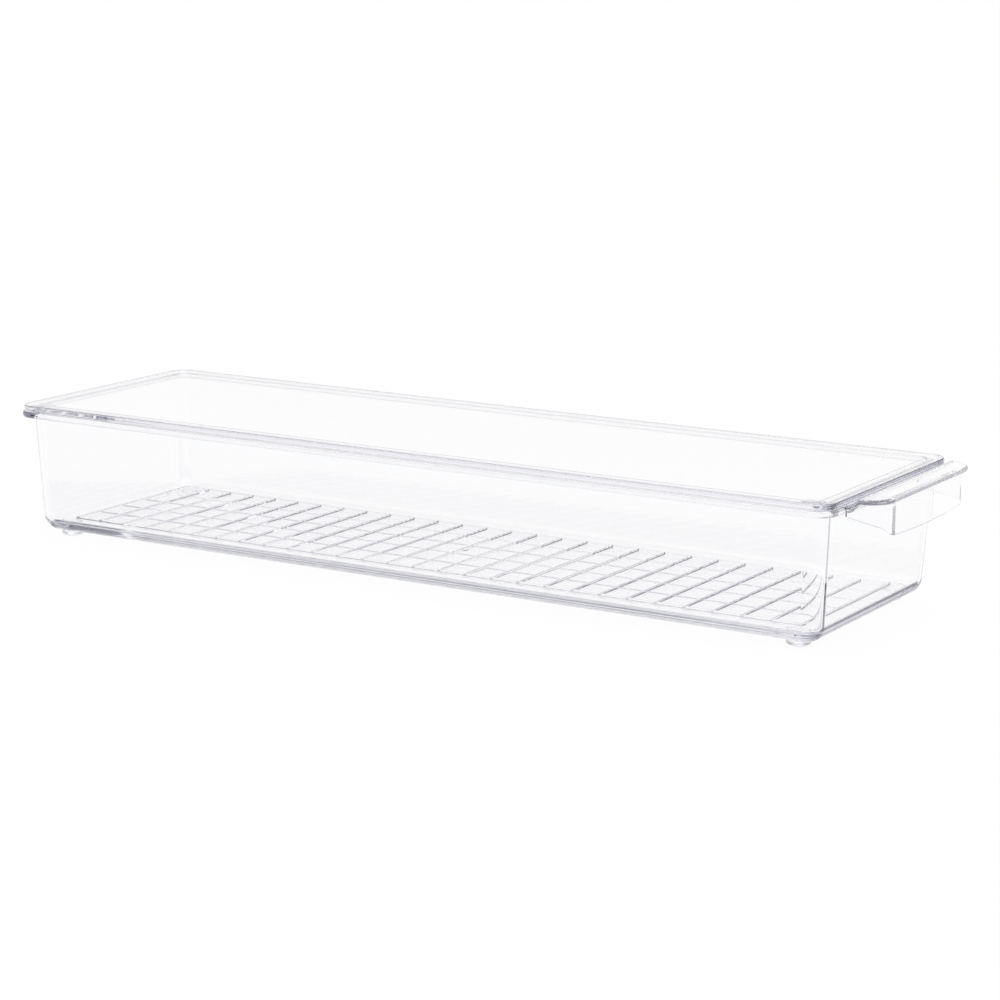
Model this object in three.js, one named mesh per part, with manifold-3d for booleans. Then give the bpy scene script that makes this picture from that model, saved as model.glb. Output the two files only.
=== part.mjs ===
// Clear organizer tray with a flat lift-off lid, a pull grip at one short end,
// a floor stiffened by crossing ribs, and four soft clear feet.
// Millimetres. +Z is up and +X points out of the end that carries the grip.
// The origin is on the ground, under the middle of the whole.

import * as THREE from "three";
import { mergeVertices } from "three/addons/utils/BufferGeometryUtils.js";
import Module from "manifold-3d";

const wasm = await Module();
wasm.setup();

// Rim: the flange round the mouth, which the lid lies on
const rimLength = 344.4;
const rimWidth = 105.4;
const rimCornerRadius = 8.0;
const rimThickness = 2.4;
const rimOverhang = 3.7;
const rimEdgeRound = 0.3;

// Walls and floor of the tray
const trayDepth = 47.5;
const wallThickness = 1.8;
const wallCornerRadius = 5.5;
const wallLean = 2.0;
const floorThickness = 4.0;
const baseRound = 6.0;
const innerBaseRound = 2.0;

// Ribs on the floor: tall ones across the tray and round its grid, and low ones along it
const crossRibCount = 29;
const crossRibHeight = 0.9;
const crossRibFoot = 1.7;
const crossRibCrest = 0.8;
const longRibCount = 4;
const longRibHeight = 0.5;
const longRibFoot = 1.3;
const longRibCrest = 0.6;
const ribEndMargin = 9.3;
const ribSideMargin = 10.0;

// Mark that the moulding gate leaves in the middle of the floor
const gateDiameter = 4.0;
const gateHeight = 0.35;

// Grip: a lip that steps up in front of the lid and reaches out over a skirt
const gripReach = 13.8;
const gripWidth = 81;
const gripCornerRadius = 10;
const gripThickness = 1.9;
const gripRise = 3.1;
const riserStart = 1.8;
const riserRun = 3.2;

// Skirt: the wall under the lip that fingers hook behind, open below
const skirtSetback = 0.8;
const skirtWidth = 62.4;
const skirtThickness = 1.6;
const skirtCornerRadius = 3;
const skirtRootDrop = 5.8;
const skirtSideDrop = 8.2;
const skirtEndDrop = 10.1;
const skirtMiddleDrop = 11.2;
const skirtSweepLength = 4.0;
const skirtLowerRound = 2.4;

// Lid: a flat plate with a locating ridge that drops into the mouth
const lidSetback = 0.7;
const lidThickness = 2.3;
const lidEdgeRound = 0.35;
const ridgeClearance = 0.4;
const ridgeThickness = 1.6;
const ridgeDepth = 1.5;

// Feet: round soft pads under the corners of the floor
const footDiameter = 8.5;
const footHeight = 2.0;
const footEdgeRound = 1.1;
const footEndSetback = 4.5;
const footSideSetback = 2.6;

// How far a cut or a hidden joint runs past the face it meets
const overrun = 0.6;

// Steps in round stretches, and the sharpest that an inset corner gets
const cornerSteps = 6;
const roundSteps = 5;
const footSegments = 24;
const tightCornerShare = 0.15;
const leastRoundShare = 0.2;

// Levels and places that follow from the sizes above
const underside = footHeight;
const rimTop = underside + trayDepth;
const rimBottom = rimTop - rimThickness;
const gripTop = rimTop + gripRise;
const trayX = -gripReach / 2;
const rimFrontX = rimLength / 2;
const baseInset = rimOverhang + wallLean;
const innerCornerRadius = Math.max(wallCornerRadius - wallThickness, wallCornerRadius * tightCornerShare);
const floorTop = underside + floorThickness;
const gridLength = rimLength - 2 * (baseInset + wallThickness + ribEndMargin);
const gridWidth = rimWidth - 2 * (baseInset + wallThickness + ribSideMargin);
const flatBaseLength = rimLength - 2 * (baseInset + baseRound);
const flatBaseWidth = rimWidth - 2 * (baseInset + baseRound);

// Level outline of a rounded rectangle inset from the rim, as points going round once
function ring(inset, radius, z) {
  const halfLength = rimLength / 2 - inset;
  const halfWidth = rimWidth / 2 - inset;
  const corners = [
    [1, 1],
    [-1, 1],
    [-1, -1],
    [1, -1],
  ];
  const points = [];
  corners.forEach(([sideX, sideY], quarter) => {
    for (let step = 0; step <= cornerSteps; step++) {
      const angle = (quarter + step / cornerSteps) * (Math.PI / 2);
      const x = sideX * (halfLength - radius) + radius * Math.cos(angle);
      const y = sideY * (halfWidth - radius) + radius * Math.sin(angle);
      points.push(new THREE.Vector3(x, y, z));
    }
  });
  return points;
}

// Corner radius left after an outline has been inset
function insetRadius(radius, inset) {
  return Math.max(radius - inset, radius * tightCornerShare);
}

// Closed skin over a stack of rings, the first one lowest
function loft(rings) {
  const count = rings[0].length;
  const index = [];
  for (let level = 0; level < rings.length - 1; level++) {
    for (let i = 0; i < count; i++) {
      const a = level * count + i;
      const b = level * count + ((i + 1) % count);
      index.push(a, b, b + count);
      index.push(a, b + count, a + count);
    }
  }
  const top = (rings.length - 1) * count;
  for (let i = 1; i < count - 1; i++) {
    index.push(0, i + 1, i);
    index.push(top, top + i, top + i + 1);
  }
  const geometry = new THREE.BufferGeometry().setFromPoints(rings.flat());
  geometry.setIndex(index);
  return geometry;
}

// Rings of a rounded lower edge, from its flat bottom up to its upright side
function lowerEdge(inset, cornerRadius, round, z) {
  const rings = [];
  for (let step = 0; step <= roundSteps; step++) {
    const angle = (step / roundSteps) * (Math.PI / 2);
    const drawnIn = round * (1 - Math.sin(angle));
    const level = z + round * (1 - Math.cos(angle));
    rings.push(ring(inset + drawnIn, insetRadius(cornerRadius, drawnIn), level));
  }
  return rings;
}

// A closed geometry as a solid that can be joined and cut
function solid(geometry) {
  geometry.deleteAttribute("normal");
  geometry.deleteAttribute("uv");
  const merged = mergeVertices(geometry);
  const vertProperties = merged.getAttribute("position").array;
  const triVerts = new Uint32Array(merged.index.array);
  return new wasm.Manifold(new wasm.Mesh({ numProp: 3, vertProperties, triVerts }));
}

// A solid as a geometry again
function geometryOf(manifold) {
  const mesh = manifold.getMesh();
  const geometry = new THREE.BufferGeometry();
  geometry.setAttribute("position", new THREE.BufferAttribute(mesh.vertProperties, 3));
  geometry.setIndex(new THREE.BufferAttribute(mesh.triVerts, 1));
  geometry.computeVertexNormals();
  return geometry;
}

// Outline given as X and Z, carried across the tray and centred on it
function extrudedAcross(shape, width) {
  const geometry = new THREE.ExtrudeGeometry(shape, { depth: width, bevelEnabled: false, curveSegments: roundSteps });
  return geometry.rotateX(Math.PI / 2).translate(0, width / 2, 0);
}

// Outline given as Y and Z, carried along the tray from the place x
function extrudedAlong(shape, x, length) {
  const geometry = new THREE.ExtrudeGeometry(shape, { depth: length, bevelEnabled: false, curveSegments: roundSteps });
  return geometry.rotateX(Math.PI / 2).rotateZ(Math.PI / 2).translate(x, 0, 0);
}

// Outer skin: rounded base, leaning walls and the flange of the rim
function outerShell() {
  const flangeRadius = insetRadius(rimCornerRadius, rimEdgeRound);
  return loft([
    ...lowerEdge(baseInset, wallCornerRadius, baseRound, underside),
    ring(rimOverhang, wallCornerRadius, rimBottom),
    ring(rimEdgeRound, flangeRadius, rimBottom),
    ring(0, rimCornerRadius, rimBottom + rimEdgeRound),
    ring(0, rimCornerRadius, rimTop - rimEdgeRound),
    ring(rimEdgeRound, flangeRadius, rimTop),
  ]);
}

// Inside of the tray, one wall thickness in, open at the top
function cavity() {
  const mouthInset = rimOverhang + wallThickness;
  return loft([
    ...lowerEdge(baseInset + wallThickness, innerCornerRadius, innerBaseRound, floorTop),
    ring(mouthInset, innerCornerRadius, rimBottom),
    ring(mouthInset, innerCornerRadius, rimTop + overrun),
  ]);
}

// Section of a rib, wide at its foot, which is sunk into the floor
function ribSection(foot, crest, height) {
  const sunk = Math.min(overrun, floorThickness / 2);
  const shape = new THREE.Shape();
  shape.moveTo(-foot / 2, -sunk);
  shape.lineTo(foot / 2, -sunk);
  shape.lineTo(foot / 2, 0);
  shape.lineTo(crest / 2, height);
  shape.lineTo(-crest / 2, height);
  shape.lineTo(-foot / 2, 0);
  return shape;
}

// Section of a tall rib
function tallRib() {
  return ribSection(crossRibFoot, crossRibCrest, crossRibHeight);
}

// Section of a low rib
function lowRib() {
  return ribSection(longRibFoot, longRibCrest, longRibHeight);
}

// Straight rib along the tray, at the place y
function ribAlong(section, y) {
  return solid(extrudedAlong(section, -gridLength / 2, gridLength).translate(0, y, floorTop));
}

// The grid of ribs: tall ones across, one tall rib along each side, low ones between those
function floorRibs() {
  const ribs = [ribAlong(tallRib(), -gridWidth / 2), ribAlong(tallRib(), gridWidth / 2)];
  for (let i = 0; i < crossRibCount; i++) {
    const x = (i / (crossRibCount - 1) - 0.5) * gridLength;
    ribs.push(solid(extrudedAcross(tallRib(), gridWidth).translate(x, 0, floorTop)));
  }
  for (let i = 1; i <= longRibCount; i++) {
    const y = (i / (longRibCount + 1) - 0.5) * gridWidth;
    ribs.push(ribAlong(lowRib(), y));
  }
  return wasm.Manifold.union(ribs);
}

// Low round mark of the moulding gate
function gateMark() {
  const height = gateHeight + overrun;
  const mark = new THREE.CylinderGeometry(gateDiameter / 2, gateDiameter / 2, height, footSegments);
  return solid(mark.rotateX(Math.PI / 2).translate(0, 0, floorTop + gateHeight - height / 2));
}

// Side view of the lip, measured from the rim's front edge: level, up, and level again
function lipProfile(lower, backX, frontX) {
  const slope = Math.atan2(gripRise, riserRun);
  const forward = lower * Math.tan(slope / 2);
  const footX = riserStart + forward;
  const headX = footX + riserRun;
  const middleX = (footX + headX) / 2;
  const points = [new THREE.Vector2(backX, rimTop - lower)];
  const rise = new THREE.CubicBezierCurve(
    new THREE.Vector2(footX, rimTop - lower),
    new THREE.Vector2(middleX, rimTop - lower),
    new THREE.Vector2(middleX, gripTop - lower),
    new THREE.Vector2(headX, gripTop - lower),
  );
  points.push(...rise.getPoints(2 * roundSteps));
  points.push(new THREE.Vector2(frontX, gripTop - lower));
  return points;
}

// Lip of the grip: its side view carried across, trimmed to its plan
function gripLip() {
  const backX = -rimOverhang;
  const above = lipProfile(0, backX, gripReach);
  const below = lipProfile(gripThickness, backX, gripReach);
  const profile = new THREE.Shape([...below, ...above.reverse()]);
  const band = solid(extrudedAcross(profile, gripWidth));

  const half = gripWidth / 2;
  const plan = new THREE.Shape();
  plan.moveTo(backX - overrun, -half);
  plan.lineTo(gripReach - gripCornerRadius, -half);
  plan.absarc(gripReach - gripCornerRadius, -half + gripCornerRadius, gripCornerRadius, -Math.PI / 2, 0);
  plan.absarc(gripReach - gripCornerRadius, half - gripCornerRadius, gripCornerRadius, 0, Math.PI / 2);
  plan.lineTo(backX - overrun, half);
  return band.intersect(uprightPrism(plan));
}

// Plan carried up through the whole height of the tray and its grip
function uprightPrism(plan) {
  const height = gripTop - underside + 2 * overrun;
  const options = { depth: height, bevelEnabled: false, curveSegments: 2 * roundSteps };
  return solid(new THREE.ExtrudeGeometry(plan, options).translate(0, 0, underside - overrun));
}

// Plan of the skirt: two side walls joined by a front wall, round at the corners
function skirtPlan() {
  const backX = -(rimOverhang + wallThickness / 2);
  const frontX = gripReach - skirtSetback;
  const outer = skirtWidth / 2;
  const inner = outer - skirtThickness;
  const innerRadius = Math.max(skirtCornerRadius - skirtThickness, skirtCornerRadius * leastRoundShare);
  const insideX = frontX - skirtThickness;
  const plan = new THREE.Shape();
  plan.moveTo(backX, -outer);
  plan.lineTo(frontX - skirtCornerRadius, -outer);
  plan.absarc(frontX - skirtCornerRadius, -outer + skirtCornerRadius, skirtCornerRadius, -Math.PI / 2, 0);
  plan.absarc(frontX - skirtCornerRadius, outer - skirtCornerRadius, skirtCornerRadius, 0, Math.PI / 2);
  plan.lineTo(backX, outer);
  plan.lineTo(backX, inner);
  plan.absarc(insideX - innerRadius, inner - innerRadius, innerRadius, Math.PI / 2, 0, true);
  plan.absarc(insideX - innerRadius, -inner + innerRadius, innerRadius, 0, -Math.PI / 2, true);
  plan.lineTo(backX, -inner);
  return plan;
}

// Side view of the skirt: its lower edge falls forwards and sweeps down into the front wall
function skirtSideView() {
  const backX = -rimOverhang - wallThickness;
  const frontX = gripReach - skirtSetback + overrun;
  const sweepX = frontX - overrun - skirtSweepLength;
  const insideX = frontX - overrun - skirtThickness / 2;
  const lowest = rimTop - skirtMiddleDrop - overrun;
  const top = lipProfile(gripThickness / 2, backX, frontX);
  const sweep = new THREE.QuadraticBezierCurve(
    new THREE.Vector2(sweepX, rimTop - skirtSideDrop),
    new THREE.Vector2(insideX, rimTop - skirtSideDrop - overrun),
    new THREE.Vector2(insideX, lowest),
  );
  const lower = [
    new THREE.Vector2(backX, rimTop - skirtRootDrop),
    ...sweep.getPoints(roundSteps),
    new THREE.Vector2(frontX, lowest),
  ];
  return new THREE.Shape([...lower, ...top.reverse()]);
}

// Front view of the skirt: the lower edge bows down in the middle, round at both ends
function skirtFrontView() {
  const half = skirtWidth / 2;
  const top = gripTop + overrun;
  const endZ = rimTop - skirtEndDrop;
  const middleZ = rimTop - skirtMiddleDrop;
  const view = new THREE.Shape();
  view.moveTo(-half, top);
  view.lineTo(-half, endZ + skirtLowerRound);
  view.quadraticCurveTo(-half, endZ, -half + skirtLowerRound, endZ);
  view.quadraticCurveTo(0, 2 * middleZ - endZ, half - skirtLowerRound, endZ);
  view.quadraticCurveTo(half, endZ, half, endZ + skirtLowerRound);
  view.lineTo(half, top);
  return view;
}

// Skirt: its plan trimmed by both of its views
function gripSkirt() {
  const walls = uprightPrism(skirtPlan());
  const side = solid(extrudedAcross(skirtSideView(), gripWidth));
  const start = -rimOverhang - wallThickness;
  const front = solid(extrudedAlong(skirtFrontView(), start, gripReach - start));
  return walls.intersect(side).intersect(front);
}

// Tray: one moulding with its rim, ribbed floor, lip and skirt
function traySolid() {
  const grip = gripLip().add(gripSkirt()).translate([rimFrontX, 0, 0]);
  const shell = solid(outerShell()).add(grip).subtract(solid(cavity()));
  return shell.add(floorRibs()).add(gateMark());
}

// Lid: the plate lies on the rim and its ridge hangs just inside the mouth
function lidSolid() {
  const edgeInset = lidSetback + lidEdgeRound;
  const cornerRadius = insetRadius(rimCornerRadius, lidSetback);
  const edgeRadius = insetRadius(rimCornerRadius, edgeInset);
  const plate = loft([
    ring(edgeInset, edgeRadius, 0),
    ring(lidSetback, cornerRadius, lidEdgeRound),
    ring(lidSetback, cornerRadius, lidThickness - lidEdgeRound),
    ring(edgeInset, edgeRadius, lidThickness),
  ]);
  const outerInset = rimOverhang + wallThickness + ridgeClearance;
  const outerRadius = insetRadius(innerCornerRadius, ridgeClearance);
  const innerInset = outerInset + ridgeThickness;
  const innerRadius = insetRadius(outerRadius, ridgeThickness);
  const ridge = solid(
    loft([
      ring(outerInset, outerRadius, -ridgeDepth),
      ring(outerInset, outerRadius, lidThickness / 2),
    ]),
  );
  const hollow = solid(
    loft([
      ring(innerInset, innerRadius, -ridgeDepth - overrun),
      ring(innerInset, innerRadius, 0),
    ]),
  );
  return solid(plate).add(ridge.subtract(hollow));
}

// Foot: a short pad, flat on the ground and rounded at its lower edge
function footGeometry() {
  const radius = footDiameter / 2;
  const profile = [new THREE.Vector2(0, 0)];
  for (let step = 0; step <= roundSteps; step++) {
    const angle = (step / roundSteps) * (Math.PI / 2);
    const x = radius - footEdgeRound * (1 - Math.sin(angle));
    profile.push(new THREE.Vector2(x, footEdgeRound * (1 - Math.cos(angle))));
  }
  profile.push(new THREE.Vector2(radius, footHeight));
  profile.push(new THREE.Vector2(0, footHeight));
  return new THREE.LatheGeometry(profile, footSegments).rotateX(Math.PI / 2);
}

const part = new THREE.Group();

// Adds a named piece in its own material
function addPiece(name, geometry, look, position) {
  const material = new THREE.MeshStandardMaterial({ metalness: 0, transparent: true, ...look });
  const mesh = new THREE.Mesh(geometry, material);
  mesh.name = name;
  mesh.position.set(...position);
  part.add(mesh);
}

const trayLook = { color: 0xe6ebf2, roughness: 0.06, opacity: 0.35, flatShading: true };
const lidLook = { color: 0xe4e8f4, roughness: 0.04, opacity: 0.35, flatShading: true };
const footLook = { color: 0xdfe2e8, roughness: 0.3, opacity: 0.55 };

addPiece("tray", geometryOf(traySolid()), trayLook, [trayX, 0, 0]);
addPiece("lid", geometryOf(lidSolid()), lidLook, [trayX, 0, rimTop]);

// Feet stand in from the edge of the flat base
const footX = flatBaseLength / 2 - footEndSetback;
const footY = flatBaseWidth / 2 - footSideSetback;
for (const [end, sideX] of [["rear", -1], ["front", 1]]) {
  for (const [side, sideY] of [["right", -1], ["left", 1]]) {
    const place = [trayX + sideX * footX, sideY * footY, 0];
    addPiece(`foot_${end}_${side}`, footGeometry(), footLook, place);
  }
}

export default part;
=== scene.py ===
# %% [markdown]
# A clear lidded organizer tray, modelled as a lesson.
# The real thing is two clear plastic mouldings, a tray and a flat lid, on four soft pads.
# Everything here is in metres, in the frame of the measured model, which is loaded first and
# never changed: the pieces made below stand exactly where its nodes stand.

# %% Load the frame
from math import cos, pi, radians, tan

import bmesh
import bpy
from mathutils import Euler, Matrix, Vector


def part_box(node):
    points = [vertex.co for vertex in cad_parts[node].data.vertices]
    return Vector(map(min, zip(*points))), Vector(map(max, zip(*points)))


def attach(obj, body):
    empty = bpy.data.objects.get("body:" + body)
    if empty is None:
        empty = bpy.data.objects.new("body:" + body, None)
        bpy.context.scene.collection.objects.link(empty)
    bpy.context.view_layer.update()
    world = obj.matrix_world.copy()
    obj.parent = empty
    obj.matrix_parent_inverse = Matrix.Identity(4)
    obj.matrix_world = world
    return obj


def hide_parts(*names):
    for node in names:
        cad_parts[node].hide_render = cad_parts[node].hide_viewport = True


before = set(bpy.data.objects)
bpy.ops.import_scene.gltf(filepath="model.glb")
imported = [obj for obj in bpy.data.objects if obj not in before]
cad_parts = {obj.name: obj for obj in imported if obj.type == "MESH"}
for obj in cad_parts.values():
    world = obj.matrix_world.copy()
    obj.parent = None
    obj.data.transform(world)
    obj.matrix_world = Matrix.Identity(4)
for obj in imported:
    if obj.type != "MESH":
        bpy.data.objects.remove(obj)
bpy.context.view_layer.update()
print("nodes:", sorted(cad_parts))

# %% [markdown]
# Every length is written in millimetres and turned to metres once, so the numbers read like
# a drawing. The outline of the rim and the heights come from the boxes of the frame's nodes.
# The sizes of walls and ribs stand where they are first used, as a box doesn't tell them.

# %% Sizes of the whole
MM = 0.001
tray_low, tray_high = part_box("tray")
lid_low, lid_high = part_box("lid")
LID_SETBACK = 0.7 * MM
RIM_BACK = tray_low.x
RIM_FRONT = lid_high.x + LID_SETBACK
RIM_SIDE = tray_high.y
LID_THICKNESS = 2.3 * MM
RIM_TOP = lid_high.z - LID_THICKNESS
UNDERSIDE = tray_low.z
MIDDLE_X = (RIM_BACK + RIM_FRONT) / 2
print("rim from", round(RIM_BACK, 4), "to", round(RIM_FRONT, 4), "top at", round(RIM_TOP, 4))

# %% [markdown]
# An operator acts on whatever is selected, and loading leaves the nodes selected. So one helper
# clears the selection, and another opens a single piece in edit mode, where it is shaped.

# %% Helpers for opening a piece
def start_clean():
    """Leaves edit mode and deselects every object."""
    if bpy.context.object and bpy.context.object.mode != "OBJECT":
        bpy.ops.object.mode_set(mode="OBJECT")
    bpy.ops.object.select_all(action="DESELECT")


def edit(piece):
    """Makes the piece the active one and opens it in edit mode."""
    start_clean()
    piece.select_set(True)
    bpy.context.view_layer.objects.active = piece
    bpy.ops.object.mode_set(mode="EDIT")


start_clean()
print("selected now:", len(bpy.context.selected_objects), "objects")

# %% [markdown]
# In edit mode a hand would pick vertices, edges or faces by eye. A script picks them by a test
# on their place, and the same test then works on any piece.

# %% Helpers for picking parts of a piece
SMALL = 0.02 * MM


def pick(piece, kind, test):
    """Selects the vertices, edges or faces of the open piece that pass the test."""
    kinds = ("verts", "edges", "faces")
    bpy.context.tool_settings.mesh_select_mode = [name == kind for name in kinds]
    mesh = bmesh.from_edit_mesh(piece.data)
    for name in kinds:
        for item in getattr(mesh, name):
            item.select = False
    chosen = [item for item in getattr(mesh, kind) if test(item)]
    for item in chosen:
        item.select_set(True)
    mesh.select_flush_mode()
    bmesh.update_edit_mesh(piece.data)


def at_height(z):
    """Test for an item that lies level at the height z."""
    def test(item):
        corners = item.verts if hasattr(item, "verts") else [item]
        return all(abs(v.co.z - z) < SMALL for v in corners)
    return test


def is_upright(edge):
    """Test for an edge that stands upright."""
    low, high = edge.verts
    return (low.co - high.co).xy.length < SMALL < abs(low.co.z - high.co.z)


print("places count as equal within", round(SMALL / MM, 3), "mm")

# %% [markdown]
# Most of this object is made of boxes with rounded upright edges: the rim, the walls, the inside
# and the lid are all one. On the real tool they were milled with a round cutter, so the corner
# radius is the same all the way up. A cube with four bevelled edges is that shape.

# %% Helper for a box with round corners
CORNER_STEPS = 20


def rounded_box(name, low, high, corner):
    """Adds a box between two corners and rounds its four upright edges."""
    start_clean()
    low, high = Vector(low), Vector(high)
    bpy.ops.mesh.primitive_cube_add(size=1, location=(low + high) / 2, scale=high - low)
    piece = bpy.context.object
    piece.name = piece.data.name = name
    bpy.ops.object.transform_apply(location=True, rotation=True, scale=True)
    edit(piece)
    pick(piece, "edges", is_upright)
    bpy.ops.mesh.bevel(offset=corner, segments=CORNER_STEPS, affect="EDGES", clamp_overlap=False)
    bpy.ops.object.mode_set(mode="OBJECT")
    return piece


def rim_box(name, inset, bottom, top, corner):
    """A rounded box whose sides stand in from the rim's outline by the inset."""
    low = (RIM_BACK + inset, -RIM_SIDE + inset, bottom)
    high = (RIM_FRONT - inset, RIM_SIDE - inset, top)
    return rounded_box(name, low, high, corner)


def round_level_edge(piece, z, radius, steps):
    """Rounds the loop of edges that runs round the piece at the height z."""
    edit(piece)
    pick(piece, "edges", at_height(z))
    bpy.ops.mesh.bevel(offset=radius, segments=steps, affect="EDGES", clamp_overlap=False)
    bpy.ops.object.mode_set(mode="OBJECT")


def raise_cap(piece, z, rise):
    """Extrudes the level face at the height z straight up."""
    edit(piece)
    pick(piece, "faces", at_height(z))
    bpy.ops.mesh.extrude_region_move(TRANSFORM_OT_translate={"value": (0, 0, rise)})
    bpy.ops.object.mode_set(mode="OBJECT")


print("each upright corner is rounded in", CORNER_STEPS, "steps")

# %% [markdown]
# The walls lean in towards the floor, by about three degrees, so that the moulding lets go of
# its mould and so that trays nest. The lower end of the box is drawn in with a resize about
# its own middle, and then its bottom edge gets the big soft round that shows along the base.

# %% Outside and inside of the walls
RIM_THICKNESS = 2.4 * MM
RIM_OVERHANG = 3.7 * MM
WALL = 1.8 * MM
WALL_CORNER = 6.6 * MM
WALL_LEAN = 2.0 * MM
BASE_ROUND = 6.0 * MM
INNER_ROUND = 2.0 * MM
FLOOR = 4.0 * MM
BASE_STEPS = 10
RIM_BOTTOM = RIM_TOP - RIM_THICKNESS
FLOOR_TOP = UNDERSIDE + FLOOR


def leaning_box(name, inset, bottom, corner, base_round):
    """A rounded box up to the rim's underside, leaning in to a rounded base."""
    piece = rim_box(name, inset, bottom, RIM_BOTTOM, corner)
    straight = RIM_BOTTOM - bottom - base_round
    drawn_in = WALL_LEAN * (RIM_BOTTOM - bottom) / straight
    half_length = (RIM_FRONT - RIM_BACK) / 2 - inset
    half_width = RIM_SIDE - inset
    shrink = (1 - drawn_in / half_length, 1 - drawn_in / half_width, 1)
    edit(piece)
    pick(piece, "verts", at_height(bottom))
    bpy.ops.transform.resize(value=shrink, center_override=(MIDDLE_X, 0, bottom))
    bpy.ops.object.mode_set(mode="OBJECT")
    round_level_edge(piece, bottom, base_round, BASE_STEPS)
    return piece


outside = leaning_box("outside", RIM_OVERHANG, UNDERSIDE, WALL_CORNER, BASE_ROUND)
inside = leaning_box("inside", RIM_OVERHANG + WALL, FLOOR_TOP, WALL_CORNER - WALL, INNER_ROUND)
raise_cap(outside, RIM_BOTTOM, RIM_THICKNESS / 2)
raise_cap(inside, RIM_BOTTOM, RIM_THICKNESS * 2)
print("walls:", len(outside.data.polygons), "faces outside,", len(inside.data.polygons), "inside")

# %% [markdown]
# Shapes are put together the way the steel of the mould is: one is united with another, or cut
# out of it. In clear plastic overlapping shapes won't do, because light would bend at walls
# that the real moulding doesn't have. So each cut or union is applied at once, and points that
# fall together in it are merged.

# %% Helper for uniting and cutting
MERGE_DISTANCE = SMALL / 10


def combine(piece, tool, operation):
    """Unites the piece with a tool, or cuts it by the tool, and removes the tool."""
    start_clean()
    piece.select_set(True)
    bpy.context.view_layer.objects.active = piece
    bpy.ops.object.modifier_add(type="BOOLEAN")
    boolean = piece.modifiers[-1]
    boolean.object = tool
    boolean.operation = operation
    boolean.solver = "MANIFOLD"
    bpy.ops.object.modifier_apply(modifier=boolean.name)
    bpy.data.objects.remove(tool)
    edit(piece)
    bpy.ops.mesh.select_all(action="SELECT")
    bpy.ops.mesh.remove_doubles(threshold=MERGE_DISTANCE)
    bpy.ops.mesh.dissolve_degenerate(threshold=MERGE_DISTANCE)
    bpy.ops.object.mode_set(mode="OBJECT")


print("points nearer than", round(MERGE_DISTANCE / MM, 4), "mm are merged")

# %% [markdown]
# The rim is a flat flange round the mouth, with a slightly larger corner than the walls. It is
# a closed plate at first: the outside of the walls is united with it and the inside cut out
# of both, which opens the mouth. The edge of the mouth is broken softly at the end.

# %% Rim and mouth
RIM_CORNER = 8.0 * MM
RIM_EDGE_ROUND = 1.0 * MM
EDGE_STEPS = 6
tray = rim_box("tray_moulding", 0, RIM_BOTTOM, RIM_TOP, RIM_CORNER)
for z in (RIM_BOTTOM, RIM_TOP):
    round_level_edge(tray, z, RIM_EDGE_ROUND, EDGE_STEPS)
combine(tray, outside, "UNION")
combine(tray, inside, "DIFFERENCE")


def at_mouth(edge):
    """Test for an edge of the mouth."""
    reach_x = (RIM_FRONT - RIM_BACK) / 2 - RIM_OVERHANG
    reach_y = RIM_SIDE - RIM_OVERHANG
    inside_rim = all(
        abs(v.co.x - MIDDLE_X) < reach_x and abs(v.co.y) < reach_y for v in edge.verts
    )
    return at_height(RIM_TOP)(edge) and inside_rim


edit(tray)
pick(tray, "edges", at_mouth)
bpy.ops.mesh.bevel(offset=RIM_EDGE_ROUND, segments=EDGE_STEPS, affect="EDGES", clamp_overlap=False)
start_clean()
print("tray shell:", len(tray.data.polygons), "faces")

# %% [markdown]
# The floor has a grid of raised ribs: tall ones across the tray at 11 mm, a tall one along each
# side that they end in, and low ones between at 14 mm. They stiffen the floor and let air under
# food. A rib is a box whose top is narrowed, so that its flanks lean and the mould lets go of
# it, with a rounded crest. Its foot is sunk into the floor, because two shapes that only
# touch don't unite well.

# %% Helper for one rib
SUNK = 0.6 * MM
CREST_SHARE = 0.47
CREST_ROUND = 0.28 * MM
CREST_STEPS = 4


def rib(name, size, centre, across):
    """One straight rib: a box whose top is narrowed and rounded along its crest."""
    low = Vector(centre) - Vector(size) / 2
    high = Vector(centre) + Vector(size) / 2
    start_clean()
    bpy.ops.mesh.primitive_cube_add(size=1, location=centre, scale=size)
    piece = bpy.context.object
    piece.name = piece.data.name = name
    bpy.ops.object.transform_apply(location=True, rotation=True, scale=True)
    edit(piece)
    pick(piece, "verts", at_height(high.z))
    narrow = (CREST_SHARE, 1, 1) if across else (1, CREST_SHARE, 1)
    bpy.ops.transform.resize(value=narrow, center_override=(centre[0], centre[1], high.z))
    lengthwise = 1 if across else 0

    def on_crest(edge):
        along = edge.verts[0].co - edge.verts[1].co
        return at_height(high.z)(edge) and abs(along[lengthwise]) > (high - low)[lengthwise] / 2
    pick(piece, "edges", on_crest)
    bpy.ops.mesh.bevel(
        offset=CREST_ROUND, segments=CREST_STEPS, affect="EDGES", clamp_overlap=False
    )
    bpy.ops.object.mode_set(mode="OBJECT")
    return piece


print("a rib's crest has", CREST_SHARE, "of the width of its foot")

# %% [markdown]
# A row of equal things is modelled once and repeated by an array. The array is applied at once,
# so that every rib is there before the floor is united with them.

# %% Helper for repeating a piece
def repeat(piece, count, step):
    """Repeats the piece along a step with an array, applied at once."""
    start_clean()
    piece.select_set(True)
    bpy.context.view_layer.objects.active = piece
    bpy.ops.object.modifier_add(type="ARRAY")
    array = piece.modifiers[-1]
    array.use_relative_offset = False
    array.use_constant_offset = True
    array.constant_offset_displace = step
    array.count = count
    bpy.ops.object.modifier_apply(modifier=array.name)
    print(piece.name, "repeated", count, "times")


# %% [markdown]
# The rows are laid out from the flat part of the floor, with margins that keep them clear of the
# round at the foot of the walls. The ribs along the sides reach over the outermost cross ribs.

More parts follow.
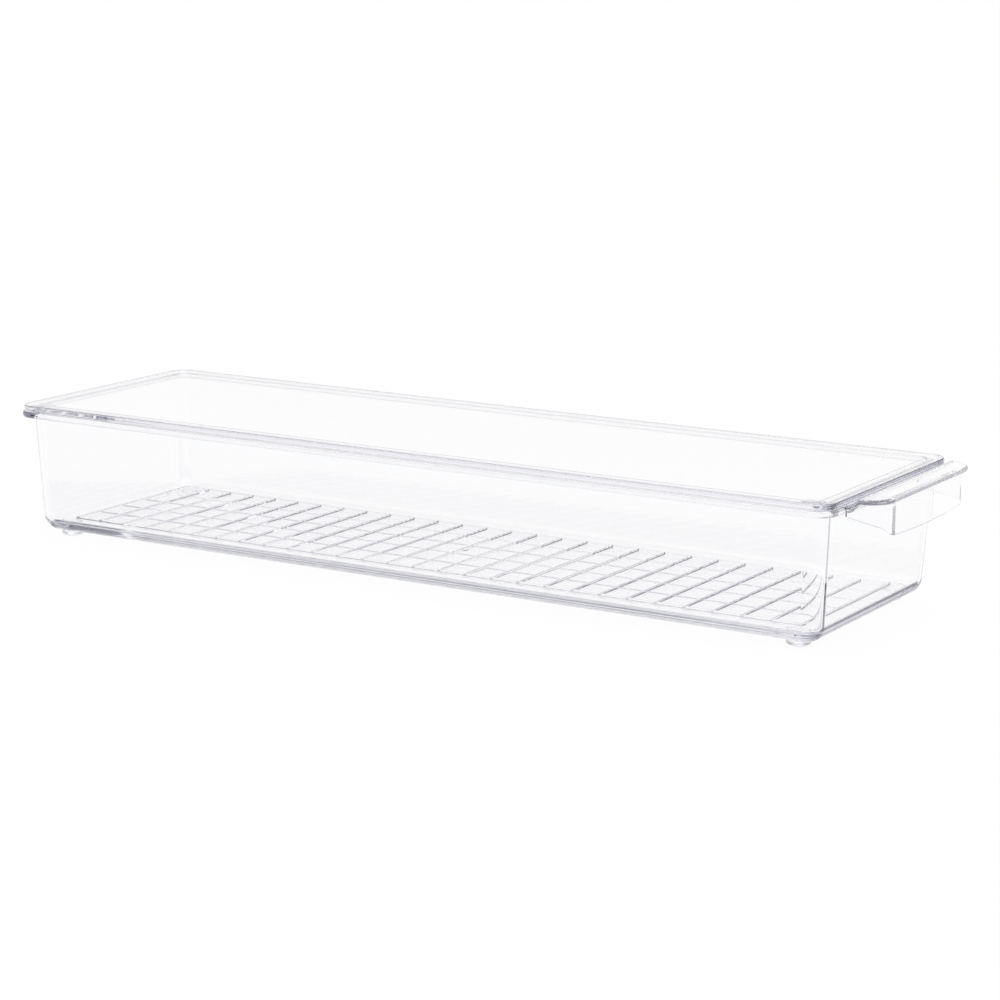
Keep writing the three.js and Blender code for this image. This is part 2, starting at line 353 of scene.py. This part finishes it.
# %% Ribs on the floor
RIB_END_MARGIN = 9.3 * MM
RIB_SIDE_MARGIN = 10.0 * MM
FLAT_INSET = RIM_OVERHANG + WALL_LEAN + WALL
GRID_LENGTH = RIM_FRONT - RIM_BACK - 2 * (FLAT_INSET + RIB_END_MARGIN)
GRID_WIDTH = 2 * (RIM_SIDE - FLAT_INSET - RIB_SIDE_MARGIN)
CROSS_RIBS = 29
SIDE_RIBS = 2
LOW_RIBS = 4
TALL_HEIGHT = 0.9 * MM
TALL_FOOT = 1.7 * MM
LOW_HEIGHT = 0.35 * MM
LOW_FOOT = 1.3 * MM
CROSS_STEP = GRID_LENGTH / (CROSS_RIBS - 1)
LOW_STEP = GRID_WIDTH / (LOW_RIBS + 1)
FRAME_LENGTH = GRID_LENGTH + TALL_FOOT * CREST_SHARE

tall_z = FLOOR_TOP + (TALL_HEIGHT - SUNK) / 2
low_z = FLOOR_TOP + (LOW_HEIGHT - SUNK) / 2
cross_size = (TALL_FOOT, GRID_WIDTH, TALL_HEIGHT + SUNK)
cross_place = (MIDDLE_X - GRID_LENGTH / 2, 0, tall_z)
cross_ribs = rib("cross_ribs", cross_size, cross_place, True)
repeat(cross_ribs, CROSS_RIBS, (CROSS_STEP, 0, 0))
side_size = (FRAME_LENGTH, TALL_FOOT, TALL_HEIGHT + SUNK)
side_place = (MIDDLE_X, -GRID_WIDTH / 2, tall_z)
side_ribs = rib("side_ribs", side_size, side_place, False)
repeat(side_ribs, SIDE_RIBS, (0, GRID_WIDTH, 0))
low_size = (GRID_LENGTH, LOW_FOOT, LOW_HEIGHT + SUNK)
low_place = (MIDDLE_X, LOW_STEP - GRID_WIDTH / 2, low_z)
low_ribs = rib("low_ribs", low_size, low_place, False)
repeat(low_ribs, LOW_RIBS, (0, LOW_STEP, 0))
for ribs in (cross_ribs, side_ribs, low_ribs):
    combine(tray, ribs, "UNION")
print("floor:", CROSS_RIBS, "ribs across at", round(CROSS_STEP / MM, 2), "mm")

# %% [markdown]
# In the middle of the floor the plastic entered the mould. The gate leaves a low round mark
# there, here a thin disc with a bevelled top edge.

# %% Mark of the gate
GATE_RADIUS = 2.0 * MM
GATE_HEIGHT = 0.35 * MM
GATE_EDGE = 0.15 * MM
GATE_SIDES = 32
GATE_EDGE_STEPS = 2
start_clean()
gate_place = (MIDDLE_X, 0, FLOOR_TOP + (GATE_HEIGHT - SUNK) / 2)
bpy.ops.mesh.primitive_cylinder_add(
    vertices=GATE_SIDES, radius=GATE_RADIUS, depth=GATE_HEIGHT + SUNK, location=gate_place
)
gate = bpy.context.object
bpy.ops.object.transform_apply(location=True, rotation=True, scale=True)
round_level_edge(gate, FLOOR_TOP + GATE_HEIGHT, GATE_EDGE, GATE_EDGE_STEPS)
combine(tray, gate, "UNION")
print("gate mark:", round(2 * GATE_RADIUS / MM, 1), "mm across")

# %% [markdown]
# The lip of the grip steps up in front of the lid and reaches out, flat, over the fingers. The
# step is a soft S. A rule says how far each place of a flat plate is lifted to get there. The
# underside bends a little later than the top, so the plate keeps its thickness in the bend.

# %% Step of the lip
GRIP_REACH = tray_high.x - RIM_FRONT
GRIP_RISE = tray_high.z - RIM_TOP
GRIP_THICKNESS = 1.9 * MM
RISER_START = 0.5 * MM
RISER_RUN = 4.5 * MM
RISER_SLOPE = pi / 4
LATER_BELOW = GRIP_THICKNESS * tan(RISER_SLOPE / 2)


def lip_lift(place):
    """How far the lip is lifted at a place on its flat plate, a soft S."""
    depth = (RIM_TOP - place.z) / GRIP_THICKNESS
    start = RIM_FRONT + RISER_START + depth * LATER_BELOW
    share = min(max((place.x - start) / RISER_RUN, 0), 1)
    return GRIP_RISE * share * share * (3 - 2 * share)


def move_up(piece, rise_of):
    """Moves each vertex of the piece up by what the rule gives for its place."""
    edit(piece)
    rises = {}
    for vertex in bmesh.from_edit_mesh(piece.data).verts:
        rises.setdefault(round(rise_of(vertex.co), 7), set()).add(vertex.index)
    for rise, chosen in rises.items():
        pick(piece, "verts", lambda v: v.index in chosen)
        bpy.ops.transform.translate(value=(0, 0, rise))
    bpy.ops.object.mode_set(mode="OBJECT")


print("lip: reach", round(GRIP_REACH / MM, 2), "mm, rise", round(GRIP_RISE / MM, 2), "mm")

# %% [markdown]
# The lip starts as a flat plate with two round front corners and softened edges, because edges
# round best while they are straight. Then it is cut across where it bends, with a few cuts
# more for the later bend of the underside, and each vertex is lifted by the rule.

# %% Lip of the grip
GRIP_WIDTH = 81 * MM
GRIP_CORNER = 10 * MM
GRIP_EDGE_ROUND = 0.8 * MM
RISER_STEPS = 12
STEPS_BEYOND = 4
start_clean()
lip_back = RIM_FRONT - RIM_OVERHANG
lip_length = RIM_OVERHANG + GRIP_REACH
bpy.ops.mesh.primitive_plane_add(size=1, location=(lip_back + lip_length / 2, 0, RIM_TOP))
lip = bpy.context.object
lip.name = lip.data.name = "lip"
lip.scale = (lip_length, GRIP_WIDTH, 1)
bpy.ops.object.transform_apply(location=True, rotation=True, scale=True)
edit(lip)
pick(lip, "verts", lambda v: v.co.x > RIM_FRONT)
bpy.ops.mesh.bevel(offset=GRIP_CORNER, segments=2 * CORNER_STEPS, affect="VERTICES")
bpy.ops.mesh.select_all(action="SELECT")
bpy.ops.mesh.extrude_region_move(TRANSFORM_OT_translate={"value": (0, 0, -GRIP_THICKNESS)})
bpy.ops.mesh.select_all(action="SELECT")
bpy.ops.mesh.normals_make_consistent(inside=False)
for z in (RIM_TOP, RIM_TOP - GRIP_THICKNESS):
    round_level_edge(lip, z, GRIP_EDGE_ROUND, EDGE_STEPS)
edit(lip)
for step in range(RISER_STEPS + 1 + STEPS_BEYOND):
    bpy.ops.mesh.select_all(action="SELECT")
    cut_x = RIM_FRONT + RISER_START + RISER_RUN * step / RISER_STEPS
    bpy.ops.mesh.bisect(plane_co=(cut_x, 0, RIM_TOP), plane_no=(1, 0, 0))
move_up(lip, lip_lift)
lip_top = max(v.co.z for v in lip.data.vertices)
print("lip:", len(lip.data.polygons), "faces, top at", round(lip_top, 5))

# %% [markdown]
# Under the lip hangs the skirt that fingers pull on: a wall round three sides, open at the back
# and below. Its lower edge falls forwards along the sides, sweeps down to the front, and bows
# there. Its upper edge ends inside the lip. Two rules give these heights for each place.

# %% Edges of the skirt
SKIRT_SETBACK = 0.8 * MM
SKIRT_WIDTH = 62.4 * MM
SKIRT_ROOT_DROP = 5.8 * MM
SKIRT_SIDE_DROP = 8.2 * MM
SKIRT_END_DROP = 10.1 * MM
SKIRT_MIDDLE_DROP = 11.2 * MM
SKIRT_SWEEP = 4.0 * MM
skirt_front = tray_high.x - SKIRT_SETBACK
skirt_back = RIM_FRONT - RIM_OVERHANG - WALL / 2
skirt_half = SKIRT_WIDTH / 2


def skirt_edge(x, y):
    """Height of the skirt's lower edge at a place on its wall."""
    root_x = RIM_FRONT - RIM_OVERHANG
    sweep_x = skirt_front - SKIRT_SWEEP
    run = (x - root_x) / (sweep_x - root_x)
    side = SKIRT_ROOT_DROP + (SKIRT_SIDE_DROP - SKIRT_ROOT_DROP) * run
    bow = 1 - (y / skirt_half) ** 2
    front = SKIRT_END_DROP + (SKIRT_MIDDLE_DROP - SKIRT_END_DROP) * bow
    share = min(max((x - sweep_x) / SKIRT_SWEEP, 0), 1)
    return RIM_TOP - side - (front - side) * share * share


def skirt_rise(place):
    """How far a corner of the skirt's box moves up to its own height."""
    if place.z < RIM_TOP - SKIRT_ROOT_DROP:
        return skirt_edge(place.x, place.y) - place.z
    in_lip = Vector((place.x, place.y, RIM_TOP - GRIP_THICKNESS / 2))
    return in_lip.z + lip_lift(in_lip) - place.z


print("skirt: front at", round(skirt_front, 4), "width", round(SKIRT_WIDTH / MM, 1), "mm")

# %% [markdown]
# A sheet gets its wall from a Solidify modifier. A Bevel modifier rounds its edges afterwards,
# and finds them by the angle at which the faces meet. Both are applied at once.

# %% Helpers for thickening and rounding
def thicken(piece, thickness):
    """Gives a sheet its wall, on the side away from its normals, and closes its edges."""
    start_clean()
    piece.select_set(True)
    bpy.context.view_layer.objects.active = piece
    bpy.ops.object.modifier_add(type="SOLIDIFY")
    solidify = piece.modifiers[-1]
    solidify.thickness = thickness
    solidify.offset = -1
    solidify.use_even_offset = True
    bpy.ops.object.modifier_apply(modifier=solidify.name)


def round_sharp_edges(piece, radius, sharpest):
    """Rounds every edge where the faces turn by more than an angle."""
    start_clean()
    piece.select_set(True)
    bpy.context.view_layer.objects.active = piece
    bpy.ops.object.modifier_add(type="BEVEL")
    bevel = piece.modifiers[-1]
    bevel.width = radius
    bevel.segments = EDGE_STEPS
    bevel.limit_method = "ANGLE"
    bevel.angle_limit = sharpest
    bevel.use_clamp_overlap = False
    bpy.ops.object.modifier_apply(modifier=bevel.name)


print("a rounded edge has", EDGE_STEPS, "steps")

# %% [markdown]
# The skirt starts as a box with two round front corners. It loses its top, its bottom and its
# back, and its faces get upright cuts, so that the edges can curve. Each lower and upper
# corner is moved to its height, and the sheet is thickened inwards.

# %% Skirt of the grip
SKIRT_THICKNESS = 1.6 * MM
SKIRT_CORNER = 3 * MM
SKIRT_EDGE_ROUND = 0.7 * MM
SKIRT_CUTS_ACROSS = 24
SKIRT_CUTS_ALONG = 12
SHARP_TURN = radians(60)
MOSTLY = 0.5


def is_long(direction):
    """Test for a level edge that runs a good way along one direction."""
    def test(edge):
        along = edge.verts[0].co - edge.verts[1].co
        return abs(along[direction]) > GRIP_REACH / 2 and abs(along.z) < SMALL
    return test


def is_cap_or_back(face):
    """Test for a face that looks mostly up, down or backwards."""
    return abs(face.normal.z) > MOSTLY or face.normal.x < -MOSTLY


skirt_low = Vector((skirt_back, -skirt_half, RIM_TOP - SKIRT_MIDDLE_DROP))
skirt_high = Vector((skirt_front, skirt_half, tray_high.z))
start_clean()
bpy.ops.mesh.primitive_cube_add(
    size=1, location=(skirt_low + skirt_high) / 2, scale=skirt_high - skirt_low
)
skirt = bpy.context.object
skirt.name = skirt.data.name = "skirt"
bpy.ops.object.transform_apply(location=True, rotation=True, scale=True)
edit(skirt)
pick(skirt, "edges", lambda e: is_upright(e) and e.verts[0].co.x > RIM_FRONT)
bpy.ops.mesh.bevel(offset=SKIRT_CORNER, segments=CORNER_STEPS, affect="EDGES", clamp_overlap=False)
pick(skirt, "faces", is_cap_or_back)
bpy.ops.mesh.delete(type="FACE")
pick(skirt, "edges", is_long(1))
bpy.ops.mesh.subdivide(number_cuts=SKIRT_CUTS_ACROSS)
pick(skirt, "edges", is_long(0))
bpy.ops.mesh.subdivide(number_cuts=SKIRT_CUTS_ALONG)
move_up(skirt, skirt_rise)
thicken(skirt, SKIRT_THICKNESS)
round_sharp_edges(skirt, SKIRT_EDGE_ROUND, SHARP_TURN)
print("skirt:", len(skirt.data.polygons), "faces")

# %% [markdown]
# Lip and skirt reach back into the rim and the wall, and the skirt's top ends inside the lip.
# So one union for each makes a single moulding of them.

# %% Unite the grip with the tray
combine(tray, lip, "UNION")
combine(tray, skirt, "UNION")
print("tray:", len(tray.data.polygons), "faces")

# %% [markdown]
# The lid is a flat plate with softly broken edges. Under it a thin ridge runs just inside the
# mouth of the tray and keeps the lid from sliding. The ridge is a rounded box with its core
# cut out, united with the plate. The lid lies a hair above the rim, because light bends wrongly
# where two clear surfaces share one place.

# %% Lid
LID_CORNER = RIM_CORNER - LID_SETBACK
LID_EDGE_ROUND = 0.55 * MM
RIDGE_CLEARANCE = 0.4 * MM
RIDGE_THICKNESS = 1.6 * MM
RIDGE_EDGE_ROUND = 0.3 * MM
AIR_GAP = 0.08 * MM
lid_under = RIM_TOP + AIR_GAP
lid = rim_box("lid_moulding", LID_SETBACK, lid_under, lid_high.z, LID_CORNER)
for z in (lid_under, lid_high.z):
    round_level_edge(lid, z, LID_EDGE_ROUND, EDGE_STEPS)
ridge_inset = RIM_OVERHANG + WALL + RIDGE_CLEARANCE
ridge_corner = WALL_CORNER - WALL - RIDGE_CLEARANCE
ridge = rim_box("ridge", ridge_inset, lid_low.z, RIM_TOP + LID_THICKNESS / 2, ridge_corner)
core_inset = ridge_inset + RIDGE_THICKNESS
core = rim_box("core", core_inset, lid_low.z - SUNK, RIM_TOP, ridge_corner - RIDGE_THICKNESS)
combine(ridge, core, "DIFFERENCE")
round_level_edge(ridge, lid_low.z, RIDGE_EDGE_ROUND, EDGE_STEPS)
combine(lid, ridge, "UNION")
print("lid:", len(lid.data.polygons), "faces")

# %% [markdown]
# Four round soft pads carry the tray. One is modelled at each foot's place from a cylinder:
# its lower edge is rounded, as a pressed pad is, and its top is flat, a hair below the base.

# %% Feet
FOOT_SIDES = 48
FOOT_EDGE_ROUND = 1.1 * MM
FOOT_STEPS = 6
feet = {}
for node in sorted(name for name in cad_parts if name.startswith("foot_")):
    low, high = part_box(node)
    high.z -= AIR_GAP
    radius = (high.x - low.x) / 2
    start_clean()
    bpy.ops.mesh.primitive_cylinder_add(
        vertices=FOOT_SIDES, radius=radius, depth=high.z - low.z, location=(low + high) / 2
    )
    pad = bpy.context.object
    pad.name = pad.data.name = node.replace("foot", "pad")
    bpy.ops.object.transform_apply(location=True, rotation=True, scale=True)
    round_level_edge(pad, low.z, FOOT_EDGE_ROUND, FOOT_STEPS)
    feet[node] = pad
print("feet:", sorted(feet))

# %% [markdown]
# A level face with round corners has dozens of corner points, and it is filled with long thin
# triangles that run from one corner to the opposite one. In clear plastic they show as a line
# across the floor. So the large level faces are cut beside their round corners, and a plain
# rectangle is left in the middle.

# %% Cut the large level faces
BIG_FLAT = 200 * MM * MM
NEARLY_LEVEL = 0.999
CUT_INSET = 13 * MM
CUTS = [
    ((RIM_BACK + CUT_INSET, 0, 0), (1, 0, 0)),
    ((RIM_FRONT - CUT_INSET, 0, 0), (1, 0, 0)),
    ((0, CUT_INSET - RIM_SIDE, 0), (0, 1, 0)),
    ((0, RIM_SIDE - CUT_INSET, 0), (0, 1, 0)),
]


def is_big_flat(face):
    """Test for a large level face."""
    return abs(face.normal.z) > NEARLY_LEVEL and face.calc_area() > BIG_FLAT


def cut_flats(piece):
    """Cuts the large level faces of the piece beside their round corners."""
    edit(piece)
    for place, direction in CUTS:
        pick(piece, "faces", is_big_flat)
        bpy.ops.mesh.bisect(plane_co=place, plane_no=direction)
    bpy.ops.object.mode_set(mode="OBJECT")
    print(piece.name, "now has", len(piece.data.polygons), "faces")


cut_flats(tray)
cut_flats(lid)

# %% [markdown]
# Flat walls must look flat and rounds must look round. Smooth shading by angle keeps the crisp
# edges, and weighted normals let each large flat face rule the normals along its border,
# which matters twice over in clear plastic, where a tilted normal bends the view.

# %% Shade the mouldings
CREASE = radians(35)
LARGE_FACES_LEAD = 100


def finish_shading(piece):
    """Smooth rounds, crisp edges and flat faces that stay flat."""
    start_clean()
    piece.select_set(True)
    bpy.context.view_layer.objects.active = piece
    bpy.ops.object.shade_smooth_by_angle(angle=CREASE)
    bpy.ops.object.modifier_add(type="WEIGHTED_NORMAL")
    weighted = piece.modifiers[-1]
    weighted.keep_sharp = True
    weighted.weight = LARGE_FACES_LEAD
    bpy.ops.object.modifier_apply(modifier=weighted.name)


for piece in (tray, lid, *feet.values()):
    finish_shading(piece)
    print(piece.name, "shaded, with", len(piece.data.polygons), "faces")

# %% [markdown]
# The plastic is clear, a little lavender where much of it lies in the line of sight, as at edges.
# That colour belongs to the body of the plastic, so it is a volume absorption. The surface has a
# faint grey tint and takes a percent or two of the light at each pass, so that four walls in a
# row look a little greyer than one. The polish isn't perfect: a slow waviness from the mould
# bends reflections, and the roughness varies a little, both from noise on Object coordinates.

# %% Clear plastic
# A faint grey on the surface: each pass of light through it dims the view a little.
SURFACE_TINT = (0.985, 0.985, 0.99, 1)
HAZE_SCALE = 60
HAZE_DETAIL = 4
WAVE_DETAIL = 1


def noise(tree, place, scale, detail):
    """A noise pattern on the given coordinates."""
    pattern = tree.nodes.new("ShaderNodeTexNoise")
    pattern.inputs["Scale"].default_value = scale
    pattern.inputs["Detail"].default_value = detail
    tree.links.new(place, pattern.inputs["Vector"])
    return pattern.outputs["Fac"]


def clear_plastic(name, ior, tint, density, roughness, wave_scale, wave_height):
    """Clear moulded plastic: a faint grey surface tint, a coloured body, a wavy polish and uneven
    gloss.
    """
    material = bpy.data.materials.new(name)
    material.use_nodes = True
    tree = material.node_tree
    nodes, links = tree.nodes, tree.links
    shader = nodes["Principled BSDF"]
    shader.inputs["Base Color"].default_value = SURFACE_TINT
    shader.inputs["Transmission Weight"].default_value = 1
    shader.inputs["IOR"].default_value = ior
    place = nodes.new("ShaderNodeTexCoord").outputs["Object"]
    gloss = nodes.new("ShaderNodeMapRange")
    gloss.inputs["To Min"].default_value = roughness[0]
    gloss.inputs["To Max"].default_value = roughness[1]
    bump = nodes.new("ShaderNodeBump")
    bump.inputs["Strength"].default_value = 1
    bump.inputs["Distance"].default_value = wave_height
    body = nodes.new("ShaderNodeVolumeAbsorption")
    body.inputs["Color"].default_value = (*tint, 1)
    body.inputs["Density"].default_value = density
    links.new(noise(tree, place, HAZE_SCALE, HAZE_DETAIL), gloss.inputs["Value"])
    links.new(noise(tree, place, wave_scale, WAVE_DETAIL), bump.inputs["Height"])
    links.new(gloss.outputs["Result"], shader.inputs["Roughness"])
    links.new(bump.outputs["Normal"], shader.inputs["Normal"])
    links.new(body.outputs["Volume"], nodes["Material Output"].inputs["Volume"])
    return material


print("clear plastic: the film lets through", SURFACE_TINT[0], "of the light")

# %% [markdown]
# Tray and lid are the same hard plastic, which bends light strongly. The pads are a softer one,
# duller and with more colour in the body, as clear rubber is.

# %% Plastic of tray, lid and pads
HARD_IOR = 1.57
SOFT_IOR = 1.45
POLISHED = (0.0, 0.015)
tray_plastic = clear_plastic(
    "clear_tray_plastic",
    ior=HARD_IOR,
    tint=(0.5, 0.5, 0.62),
    density=3,
    roughness=POLISHED,
    wave_scale=25,
    wave_height=0.004 * MM,
)
lid_plastic = clear_plastic(
    "clear_lid_plastic",
    ior=HARD_IOR,
    tint=(0.5, 0.49, 0.66),
    density=2,
    roughness=POLISHED,
    wave_scale=18,
    wave_height=0.004 * MM,
)
pad_plastic = clear_plastic(
    "clear_soft_pad",
    ior=SOFT_IOR,
    tint=(0.5, 0.5, 0.6),
    density=40,
    roughness=(0.12, 0.25),
    wave_scale=90,
    wave_height=0.05 * MM,
)
print("materials:", tray_plastic.name, lid_plastic.name, pad_plastic.name)

# %% [markdown]
# A piece has one material all over, because it is one shot of plastic.

# %% Dress the pieces
def dress(piece, material):
    """Gives the piece its material."""
    piece.data.materials.clear()
    piece.data.materials.append(material)


dress(tray, tray_plastic)
dress(lid, lid_plastic)
for pad in feet.values():
    dress(pad, pad_plastic)
print("dressed:", 2 + len(feet), "pieces")

# %% [markdown]
# Each piece rides on the body that carries it, and stands for the frame's node. The lid has a
# body of its own, because it lifts off, and the pads stay on the tray's.

# %% Hang the pieces on the frame
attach(tray, "tray_body")
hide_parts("tray")
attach(lid, "lid_body")
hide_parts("lid")
for node, pad in feet.items():
    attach(pad, "tray_body")
    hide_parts(node)
print("the lid rides on its own body, all else on the tray's")

# %% [markdown]
# Clear plastic is lit by what stands round it, so the room does the work here. What is seen
# directly, straight through the flat walls or mirrored once in them, is plain white paper.
# Light that is thrown to and fro inside an edge leaves it in some other direction, and there
# it finds the white only towards the back and grey elsewhere, which draws the edges as thin
# dark lines. The Light Path node tells the two apart, by how often the ray was reflected.

# %% White or grey by the way of the ray
WHITE = (1, 1, 1, 1)
ROOM_GREY = (0.2, 0.2, 0.25, 1)
MIRRORED_ONCE = 1.5


def white_part(tree, direction, middle, edges):
    """White round the middle direction, grey elsewhere for rays reflected more than once."""
    nodes, links = tree.nodes, tree.links
    toward = nodes.new("ShaderNodeVectorMath")
    toward.operation = "DOT_PRODUCT"
    toward.inputs[1].default_value = middle
    share = nodes.new("ShaderNodeMapRange")
    share.interpolation_type = "SMOOTHSTEP"
    share.inputs["From Min"].default_value = cos(edges[0])
    share.inputs["From Max"].default_value = cos(edges[1])
    tone = nodes.new("ShaderNodeMix")
    tone.data_type = "RGBA"
    tone.inputs["A"].default_value = ROOM_GREY
    tone.inputs["B"].default_value = WHITE
    links.new(direction, toward.inputs[0])
    links.new(toward.outputs["Value"], share.inputs["Value"])
    links.new(share.outputs["Result"], tone.inputs["Factor"])
    path = nodes.new("ShaderNodeLightPath")
    straight = nodes.new("ShaderNodeMath")
    straight.operation = "LESS_THAN"
    straight.inputs[1].default_value = MIRRORED_ONCE
    plain = nodes.new("ShaderNodeMix")
    plain.data_type = "RGBA"
    plain.inputs["B"].default_value = WHITE
    links.new(path.outputs["Glossy Depth"], straight.inputs[0])
    links.new(straight.outputs["Value"], plain.inputs["Factor"])
    links.new(tone.outputs["Result"], plain.inputs["A"])
    return plain.outputs["Result"]


print("white for a ray reflected fewer than", MIRRORED_ONCE, "times")

# %% [markdown]
# The room is the world's background. Its white side stands behind the tray, as a paper backdrop
# would, and fades softly into the grey.

# %% Room
WHITE_SIDE = (-0.25, 0.95, 0.2)
WHITE_SIDE_EDGES = (radians(55), radians(25))
world = bpy.data.worlds.new("room")
bpy.context.scene.world = world
world.use_nodes = True
sky = world.node_tree
outward = sky.nodes.new("ShaderNodeTexCoord").outputs["Generated"]
sky_tone = white_part(sky, outward, WHITE_SIDE, WHITE_SIDE_EDGES)
sky.links.new(sky_tone, sky.nodes["Background"].inputs["Color"])
print("room: white towards", WHITE_SIDE)

# %% [markdown]
# The floor is a very wide sheet. For rays that the plastic throws about, it is white in a wedge
# that opens backwards from a tip in front of the tray, and grey beside it. Most of what it
# sends out is its own glow at a strength of 1, which is white. The rest takes lamp and shadow.

# %% Floor
FLOOR_SIZE = 80
PAPER_TIP = (0.54, -0.93, 0)
PAPER_ALONG = (-0.26, 0.966, 0)
PAPER_SIDES = (radians(33), radians(26))
PAPER_COLOUR = (0.9, 0.9, 0.9, 1)
PAPER_ROUGHNESS = 0.9
GLOW_SHARE = 0.97
start_clean()
bpy.ops.mesh.primitive_plane_add(size=FLOOR_SIZE, location=(0, 0, 0))
floor = bpy.context.object
floor.name = "floor"
floor_paper = bpy.data.materials.new("floor_paper")
floor_paper.use_nodes = True
ground = floor_paper.node_tree
spot = ground.nodes.new("ShaderNodeTexCoord").outputs["Object"]
from_tip = ground.nodes.new("ShaderNodeVectorMath")
from_tip.operation = "SUBTRACT"
from_tip.inputs[1].default_value = PAPER_TIP
aim = ground.nodes.new("ShaderNodeVectorMath")
aim.operation = "NORMALIZE"
ground.links.new(spot, from_tip.inputs[0])
ground.links.new(from_tip.outputs["Vector"], aim.inputs[0])
paper_tone = white_part(ground, aim.outputs["Vector"], PAPER_ALONG, PAPER_SIDES)
paper = ground.nodes["Principled BSDF"]
paper.inputs["Base Color"].default_value = PAPER_COLOUR
paper.inputs["Roughness"].default_value = PAPER_ROUGHNESS
paper.inputs["Specular IOR Level"].default_value = 0
glow = ground.nodes.new("ShaderNodeEmission")
glow.inputs["Strength"].default_value = 1
ground.links.new(paper_tone, glow.inputs["Color"])
seen = ground.nodes.new("ShaderNodeMixShader")
seen.inputs["Fac"].default_value = GLOW_SHARE
ground.links.new(paper.outputs["BSDF"], seen.inputs[1])
ground.links.new(glow.outputs["Emission"], seen.inputs[2])
ground.links.new(seen.outputs["Shader"], ground.nodes["Material Output"].inputs["Surface"])
floor.data.materials.append(floor_paper)
print("floor:", FLOOR_SIZE, "m wide, glowing by", GLOW_SHARE)

# %% [markdown]
# One large soft lamp hangs over the tray and looks down on its middle. A large lamp close by
# gives the flat faces a weak sheen, and hardly any shadow.

# %% Lamp
LAMP_PLACE = (0.1, 0.1, 1.6)
LAMP_SIZE = 1.2
LAMP_WATTS = 12
lamp_data = bpy.data.lights.new("overhead", "AREA")
lamp_data.size = LAMP_SIZE
lamp_data.energy = LAMP_WATTS
lamp = bpy.data.objects.new("overhead", lamp_data)
bpy.context.scene.collection.objects.link(lamp)
lamp.location = LAMP_PLACE
lamp.rotation_euler = (-Vector(LAMP_PLACE)).to_track_quat("-Z", "Y").to_euler()
print("lamp:", LAMP_WATTS, "watts,", LAMP_SIZE, "m wide")

# %% [markdown]
# The camera stands at the near right, about a metre away with a long lens, and looks down on
# the tray by 12 degrees. It was fitted to the edges of the lid, the rim and the base, and leans
# to one side by half a degree.

# %% Camera
LENS = 103.73
CAMERA_PLACE = (544.7 * MM, -897.1 * MM, 247.3 * MM)
CAMERA_TURN = radians(30.869)
CAMERA_PITCH = radians(11.922)
CAMERA_ROLL = radians(0.503)
SENSOR_WIDTH = 36
camera_data = bpy.data.cameras.new("camera")
camera_data.lens = LENS
camera_data.sensor_width = SENSOR_WIDTH
camera = bpy.data.objects.new("camera", camera_data)
bpy.context.scene.collection.objects.link(camera)
level = Euler((pi / 2 - CAMERA_PITCH, 0, CAMERA_TURN), "XYZ").to_matrix()
camera.matrix_world = (
    Matrix.Translation(CAMERA_PLACE) @ level.to_4x4() @ Matrix.Rotation(CAMERA_ROLL, 4, "Z")
)
bpy.context.scene.camera = camera
print("camera:", round(Vector(CAMERA_PLACE).length, 3), "m from the middle of the tray's foot")

# %% [markdown]
# A ray that enters the edge of the lid is thrown from face to face inside the plate, dozens of
# times, before it leaves at the other side. If it is dropped on the way, the edge turns
# black, so paths may be as long as that takes.

# %% Length of light paths
LONGEST_PATH = 128
cycles = bpy.context.scene.cycles
cycles.max_bounces = LONGEST_PATH
cycles.glossy_bounces = LONGEST_PATH
cycles.transmission_bounces = LONGEST_PATH
print("a path of light may have", LONGEST_PATH, "bounces")

# %% [markdown]
# Colours are shown as they are, with no film look.

# %% Finish
bpy.context.scene.view_settings.view_transform = "Standard"
